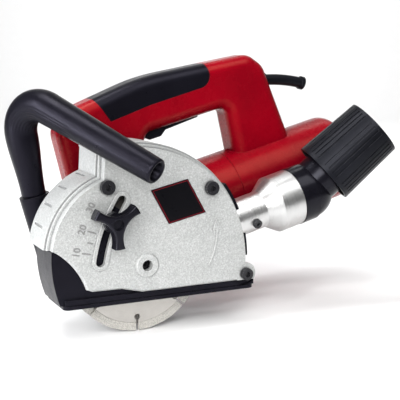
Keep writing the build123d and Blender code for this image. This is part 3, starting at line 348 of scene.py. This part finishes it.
MATERIALS = {
    "cast": cast_alloy(),
    # red: a painted shade colour darkens it in recesses and between parts, near the motor, handle and cover
    "red": plastic("red_plastic", (0.255, 0.0004, 0.0072), (0.190, 0.0003, 0.0058), 0.26, 2600.0, 0.00005,
                   tint=(1.0, 0.36, 0.22), wear=0.10, shine=0.30, painted_shade=(0.050, 0.0001, 0.0030)),
    "soft": plastic("soft_grip", (0.0030, 0.0028, 0.0046), (0.0050, 0.0048, 0.0074), 0.30, 3000.0, 0.00005,
                    tint=(0.80, 0.76, 1.0), shine=0.13),
    "black": plastic("black_plastic", (0.0036, 0.0034, 0.0052), (0.006, 0.0058, 0.0085), 0.30, 2200.0,
                     0.00005, tint=(0.80, 0.77, 1.0), wear=0.2, shine=0.10),
    "gloss": plastic("black_gloss", (0.0040, 0.0038, 0.0058), (0.0065, 0.0062, 0.009), 0.22, 1800.0,
                     0.00003, tint=(0.80, 0.80, 1.0), wear=0.15, coat=0.08, shine=0.14),
    "rubber": plastic("black_rubber", (0.0042, 0.0044, 0.0060), (0.0075, 0.0078, 0.0105), 0.36, 1500.0,
                      0.00007, tint=(0.85, 0.87, 1.0), wear=0.3, shine=0.13),
    "label": plastic("label_film", (0.0030, 0.0030, 0.0042), (0.0042, 0.0038, 0.0050), 0.30, 1200.0,
                     0.00001, shine=0.05, edge=0.0),
    "label_red": plastic("label_border", (0.13, 0.004, 0.010), (0.10, 0.003, 0.008), 0.35, 1200.0,
                         0.00001, shine=0.1),
    "port": turned("turned_alloy", (0.66, 0.66, 0.655), body_point(0, PORT_Y, PORT_Z), body_dir(1, 0, 0),
                   0.0011, 0.30),
    "flange": turned("turned_steel", (0.52, 0.52, 0.53), body_point(0, 0, 0), (0, 1, 0), 0.0008, 0.34),
    "disc": disc_metal(),
    "dark_steel": steel("blackened_steel", (0.012, 0.012, 0.015), 0.30, 0.35),
    "bright_steel": steel("ground_steel", (0.60, 0.60, 0.61), 0.27),
    "gear_steel": steel("gear_steel", (0.33, 0.33, 0.34), 0.36),
    "bronze": steel("sintered_bronze", (0.50, 0.33, 0.14), 0.40),
    "copper": copper_wire(),
    "laminated": laminated(),
    "carbon": plastic("pressed_carbon", (0.02, 0.02, 0.021), (0.035, 0.035, 0.036), 0.55, 2600.0, 0.0001),
    # ticks and numbers: raised in the same alloy as the cover; their darker grey is painted shade
    "painted_shade_marks": plastic("cast_shadow", (0.27, 0.27, 0.265), (0.20, 0.20, 0.20), 0.5, 1500.0, 0.0001),
}

FINISH = {
    "cast": "blade_cover rear_casing gear_housing bearing_flange",
    "red": "near_handle_shell far_handle_shell motor_housing",
    "soft": "grip_pad front_handle",
    "black": "dust_shield guard_shell switch_module fan fan_baffle front_handle_base sole_plate",
    "gloss": "dust_elbow trigger lock_off_button spindle_lock depth_knob",
    "rubber": "hose_adapter cord_boot",
    "label": "label_plate",
    "port": "dust_port",
    "flange": "inner_flange outer_flange spacer_rings knob_washer",
    "disc": "near_disc far_disc",
    "dark_steel": "cover_screws pivot_pin pivot_nut dust_port_screw gearbox_screws clamp_bolt handle_screws "
                  "handle_foot_screws front_handle_bolts sole_screws",
    "bright_steel": "front_spindle_bearing front_armature_bearing rear_armature_bearing spindle "
                    "armature_shaft trigger_pin depth_bolt",
    "gear_steel": "crown_gear pinion",
    "bronze": "rear_spindle_bush brush_holders knob_insert",
    "copper": "armature_windings commutator",
    "laminated": "armature_core stator",
    "carbon": "carbon_brushes",
}
for finish, names in FINISH.items():
    for name in names.split():
        mesh_object = NODES[name]
        mesh_object.data.materials.clear()
        mesh_object.data.materials.append(MATERIALS[finish])
        for polygon in mesh_object.data.polygons:
            polygon.material_index = 0


# ---------------------------------------------------------------- small pieces
def mesh_piece(name, verts, faces, finish, body, smooth=False):
    mesh = bpy.data.meshes.new(name)
    mesh.from_pydata([tuple(v) for v in verts], [], faces)
    mesh.update()
    obj = bpy.data.objects.new(name, mesh)
    bpy.context.scene.collection.objects.link(obj)
    mesh.materials.append(MATERIALS[finish])
    for polygon in mesh.polygons:
        polygon.use_smooth = smooth
    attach(obj, body)
    return obj


def prism(outline_2d, to_3d, low, high):
    """Closed prism over a 2-D outline: to_3d(u, v, height) places its points."""
    n = len(outline_2d)
    verts = [to_3d(u, v, low) for u, v in outline_2d] + [to_3d(u, v, high) for u, v in outline_2d]
    faces = [list(range(n))[::-1], [n + i for i in range(n)]]
    faces += [[i, (i + 1) % n, n + (i + 1) % n, n + i] for i in range(n)]
    return verts, faces


def on_cover(u, v, height):
    """A point on the blade cover's face in body millimetres, standing out by height."""
    return body_point(u, FACE_Y - height, v)


def joined(parts):
    verts, faces = [], []
    for v, f in parts:
        base = len(verts)
        verts += v
        faces += [[base + i for i in face] for face in f]
    return verts, faces


LABEL = [(20.6, 60.4), (55.2, 59.0), (63.8, 26.0), (28.6, 27.6)]     # the label's corners
BORDER_IN, BORDER_OUT = 0.075, 0.03     # its red line, as shares of the way to the middle
DEPTH_ANGLES = {10: 12.2, 15: 15.7, 20: 19.1, 25: 22.8, 30: 26.0}       # groove depth in mm to degrees
SCALE_R = 148.5             # inner end of the scale's ticks, from the tilt pivot
NUMBER_R = 160.5            # middle of its numbers
TICK_LONG, TICK_SHORT = 7.5, 4.8
TICK_W = 0.9


def label_border():
    centre = Vector((sum(p[0] for p in LABEL) / 4, sum(p[1] for p in LABEL) / 4))
    corners = [Vector(p) for p in LABEL]
    parts = []
    for a, b in zip(corners, corners[1:] + corners[:1]):
        outer = [a.lerp(centre, BORDER_OUT), b.lerp(centre, BORDER_OUT)]
        inner = [b.lerp(centre, BORDER_IN), a.lerp(centre, BORDER_IN)]
        parts.append(prism([tuple(p) for p in outer + inner], on_cover, 0.35, 0.5))
    verts, faces = joined(parts)
    return mesh_piece("label_border", verts, faces, "label_red", "housing")


def away_from_pivot(angle):
    """Direction on the cover, ahead of the tilt pivot and raised by an angle at full plunge."""
    a = math.radians(angle) + TILT
    return Vector((-math.cos(a), math.sin(a)))


def scale_marks():
    """Depth scale beside the slot: one raised tick for every 5 mm, longer at each 10."""
    parts = []
    pivot = Vector((PIVOT_X, PIVOT_Z))
    for depth, angle in DEPTH_ANGLES.items():
        out = away_from_pivot(angle)
        side = Vector((out.y, -out.x)) * TICK_W / 2
        length = TICK_SHORT if depth % 10 else TICK_LONG
        start, end = pivot + out * SCALE_R, pivot + out * (SCALE_R + length)
        pts = [start - side, end - side, end + side, start + side]
        parts.append(prism([tuple(p) for p in pts], on_cover, -0.05, 0.35))
    verts, faces = joined(parts)
    return mesh_piece("scale_ticks", verts, faces, "painted_shade_marks", "housing")


def number_mesh(text):
    """Mesh of a raised number, 8.5 mm high in its own plane."""
    curve = bpy.data.curves.new("scale_" + text, "FONT")
    curve.body = text
    curve.align_x, curve.align_y = "CENTER", "CENTER"
    curve.size = 0.0085
    curve.extrude = 0.00025
    curve.resolution_u = 4
    temp = bpy.data.objects.new("scale_text", curve)
    bpy.context.scene.collection.objects.link(temp)
    bpy.context.view_layer.update()
    mesh = bpy.data.meshes.new_from_object(temp.evaluated_get(bpy.context.evaluated_depsgraph_get()))
    bpy.data.objects.remove(temp)
    return mesh


def scale_number(text, angle):
    """Number beyond a tick, its top pointing away from the tilt pivot."""
    mesh = number_mesh(text)
    out = away_from_pivot(angle)
    spot = Vector((PIVOT_X, PIVOT_Z)) + out * NUMBER_R
    origin = on_cover(spot.x, spot.y, 0.05)
    up = body_dir(out.x, 0, out.y)
    right = body_dir(out.y, 0, -out.x)
    face_out = Vector((0, -1, 0))
    mesh.transform(Matrix.Translation(origin) @ Matrix((right, up, face_out)).transposed().to_4x4())
    obj = bpy.data.objects.new("scale_" + text, mesh)
    bpy.context.scene.collection.objects.link(obj)
    mesh.materials.clear()
    mesh.materials.append(MATERIALS["painted_shade_marks"])
    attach(obj, "housing")
    return obj


label_border()
scale_marks()
for depth in (10, 20, 30):
    scale_number(str(depth), DEPTH_ANGLES[depth])


# ---------------------------------------------------------------- front handle with its ribbed knee
LEG_FOOT, HANDLE_CORNER, GRIP_END = (-59.5, 39, 74), (-51.5, 39, 168), (11, -81, 86)
BEND_R = 25.0               # bend of the centre line
LEG_R, KNEE_R, GRIP_R = 10.55, 13.9, 10.65      # just inside the CAD handle's surface
RIBS = 32
RIB_DEPTH = 1.0
END_ROUND = 1.1             # how far the open end is rounded over
END_SHARE = 0.01            # and over what share of the length
BORE = [(-0.2, 8.4), (-1.2, 7.35), (-40.0, 7.3)]        # (depth, radius) of the open end's bore


def handle_path(samples):
    """Centre line: leg, round bend, grip. Returns points with tangents and shares of the length."""
    base, corner, end = Vector(LEG_FOOT), Vector(HANDLE_CORNER), Vector(GRIP_END)
    a, b = (base - corner).normalized(), (end - corner).normalized()
    half = a.angle(b) / 2
    back = BEND_R / math.tan(half)
    p0, p1 = corner + a * back, corner + b * back
    centre = corner + (a + b).normalized() * (BEND_R / math.sin(half))
    u = (p0 - centre).normalized()
    w = (-a - u * (-a).dot(u)).normalized()
    lengths = [(p0 - base).length, BEND_R * (math.pi - 2 * half), (end - p1).length]
    total = sum(lengths)
    path = []
    for k in range(samples + 1):
        s = total * k / samples
        if s < lengths[0]:
            point, tangent = base - a * s, -a
        elif s < lengths[0] + lengths[1]:
            t = (s - lengths[0]) / BEND_R
            point = centre + (u * math.cos(t) + w * math.sin(t)) * BEND_R
            tangent = w * math.cos(t) - u * math.sin(t)
        else:
            point, tangent = p1 + b * (s - lengths[0] - lengths[1]), b
        path.append((point, tangent, s / total))
    return path, lengths[0] / total, (lengths[0] + lengths[1]) / total, (a + b).normalized()


def ease(x):
    """Smooth step from 0 to 1."""
    x = max(0.0, min(1.0, x))
    return x * x * (3 - 2 * x)


def handle_radius(s, bend0, bend1):
    """Radius of the handle at a share of its length: thin leg, thick knee, tapering grip, rounded end."""
    r = KNEE_R
    if s < bend0:
        r = LEG_R + (KNEE_R - LEG_R) * ease(s / bend0) ** 1.2
    elif s >= bend1:
        r = KNEE_R + (GRIP_R - KNEE_R) * ((s - bend1) / (1 - bend1)) ** 0.9
    end_gap = 1 - s
    if end_gap < END_SHARE:
        r -= END_ROUND * (1 - math.sqrt(max(0.0, 1 - (1 - end_gap / END_SHARE) ** 2)))
    return r


def front_handle():
    """Bent grip with fine ribs along the inside of its knee and a bore in its open end."""
    samples, around = 220, 96
    path, bend0, bend1, inward = handle_path(samples)
    turns = [2 * math.pi * k / around for k in range(around)]
    verts, faces = [], []

    def across(tangent):
        """Two directions square to the tube: towards the inside of the bend, and sideways."""
        t = tangent.normalized()
        inner = (inward - t * inward.dot(t)).normalized()
        return t, inner, t.cross(inner)

    def close_ring(last, start):
        for k in range(around):
            n = (k + 1) % around
            faces.append([last + k, last + n, start + n, start + k])

    for p, tangent, s in path:
        r = handle_radius(s, bend0, bend1)
        ribs = ease((s - bend0 - 0.02) / 0.06) * (1 - ease((s - bend1 - 0.12) / 0.06))
        _, inner, side = across(tangent)
        for angle in turns:
            fade = ease((math.cos(angle) + 0.35) / 0.5)
            groove = 0.5 - 0.5 * math.cos(angle * RIBS)
            outward = inner * math.cos(angle) + side * math.sin(angle)
            verts.append(body_point(*(p + outward * (r - RIB_DEPTH * ribs * fade * groove))))
    for i in range(samples):
        close_ring(i * around, (i + 1) * around)
    p, tangent, _ = path[-1]
    t, inner, side = across(tangent)
    last = samples * around
    for depth, r in BORE:
        start = len(verts)
        for angle in turns:
            outward = inner * math.cos(angle) + side * math.sin(angle)
            verts.append(body_point(*(p + t * depth + outward * r)))
        close_ring(last, start)
        last = start
    faces.append([last + k for k in range(around)])
    faces.append(list(range(around))[::-1])
    obj = mesh_piece("front_handle_grip", verts, faces, "soft", "housing", smooth=True)
    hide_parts("front_handle")
    return obj


front_handle()


# ---------------------------------------------------------------- studio
VIEW = Vector((0.4384, 0.8988, 0.0))       # away from the camera, along the floor
FLOOR_FRONT = -0.46         # near edge of the floor along that direction
SWEEP_AT, SWEEP_R = 2.5, 0.9        # where the floor turns up into the backdrop, and how roundly
BACKDROP_TOP = 4.5


def studio():
    """Pale floor that sweeps up into a backdrop and widens with the distance."""
    low = cad_box[0][2] - 0.0006
    profile = [(FLOOR_FRONT, 0.0), (0.6, 0.0)]
    for degrees in range(0, 91, 6):
        a = math.radians(degrees)
        profile.append((SWEEP_AT + SWEEP_R * math.sin(a), SWEEP_R - SWEEP_R * math.cos(a)))
    profile.append((SWEEP_AT + SWEEP_R, BACKDROP_TOP))
    side = Vector((VIEW.y, -VIEW.x, 0.0))
    verts = []
    for d, h in profile:
        reach = 0.5 + 0.65 * (d - FLOOR_FRONT)
        for w in (-reach, reach):
            verts.append(VIEW * d + side * w + Vector((0, 0, low + h)))
    faces = [[2 * i, 2 * i + 1, 2 * i + 3, 2 * i + 2] for i in range(len(profile) - 1)]
    floor = bpy.data.meshes.new("floor")
    floor.from_pydata([tuple(v) for v in verts], [], faces)
    obj = bpy.data.objects.new("floor", floor)
    bpy.context.scene.collection.objects.link(obj)
    for polygon in floor.polygons:
        polygon.use_smooth = True
    s = Shader("floor_paper")
    tone = s.mix(s.noise(30.0, 4.0), rgb(0.86, 0.86, 0.86), rgb(0.88, 0.88, 0.88))
    s.set(base_color=tone, roughness=0.9)
    floor.materials.append(s.mat)


def area_light(name, place, aim, size, power, colour=(1, 1, 1), size_y=None):
    light = bpy.data.lights.new(name, "AREA")
    light.energy = power
    light.color = colour
    light.size = size
    if size_y:
        light.shape = "RECTANGLE"
        light.size_y = size_y
    obj = bpy.data.objects.new(name, light)
    obj.location = place
    obj.rotation_euler = (Vector(aim) - Vector(place)).to_track_quat("-Z", "Y").to_euler()
    bpy.context.scene.collection.objects.link(obj)


def world_light(strength):
    world = bpy.data.worlds.new("studio")
    world.use_nodes = True
    world.node_tree.nodes["Background"].inputs[0].default_value = (1.0, 1.0, 1.0, 1.0)
    world.node_tree.nodes["Background"].inputs[1].default_value = strength
    bpy.context.scene.world = world


studio()
world_light(0.12)
bpy.context.scene.view_settings.view_transform = "Standard"
MIDDLE = (-0.06, 0.02, 0.07)        # where most lights aim
area_light("key", (-0.70, -1.25, 0.80), MIDDLE, 0.8, 19.0)
area_light("top", (-0.45, 0.05, 1.40), MIDDLE, 0.6, 12.0)
area_light("left_strip", (-1.25, 0.00, 0.30), MIDDLE, 0.12, 16.0, (0.95, 0.96, 1.0), 0.9)
area_light("front_strip", (-1.15, -0.75, 0.45), MIDDLE, 0.10, 13.0, (1.0, 0.99, 0.97), 1.0)
area_light("floor_glow", (0.25, -0.75, 1.3), (0.15, -0.35, 0.0), 0.9, 10.0)
area_light("backdrop", (0.55, 1.15, 1.9), (1.2, 2.45, 0.7), 1.6, 52.0)

camera_data = bpy.data.cameras.new("camera")
camera_data.lens = 81.0
camera_data.sensor_width = 36.0
camera = bpy.data.objects.new("camera", camera_data)
camera.location = (-0.3806, -0.7182, 0.2073)
camera.rotation_euler = Vector((0.4328, 0.8873, -0.1595)).to_track_quat("-Z", "Y").to_euler()
bpy.context.scene.collection.objects.link(camera)
bpy.context.scene.camera = camera
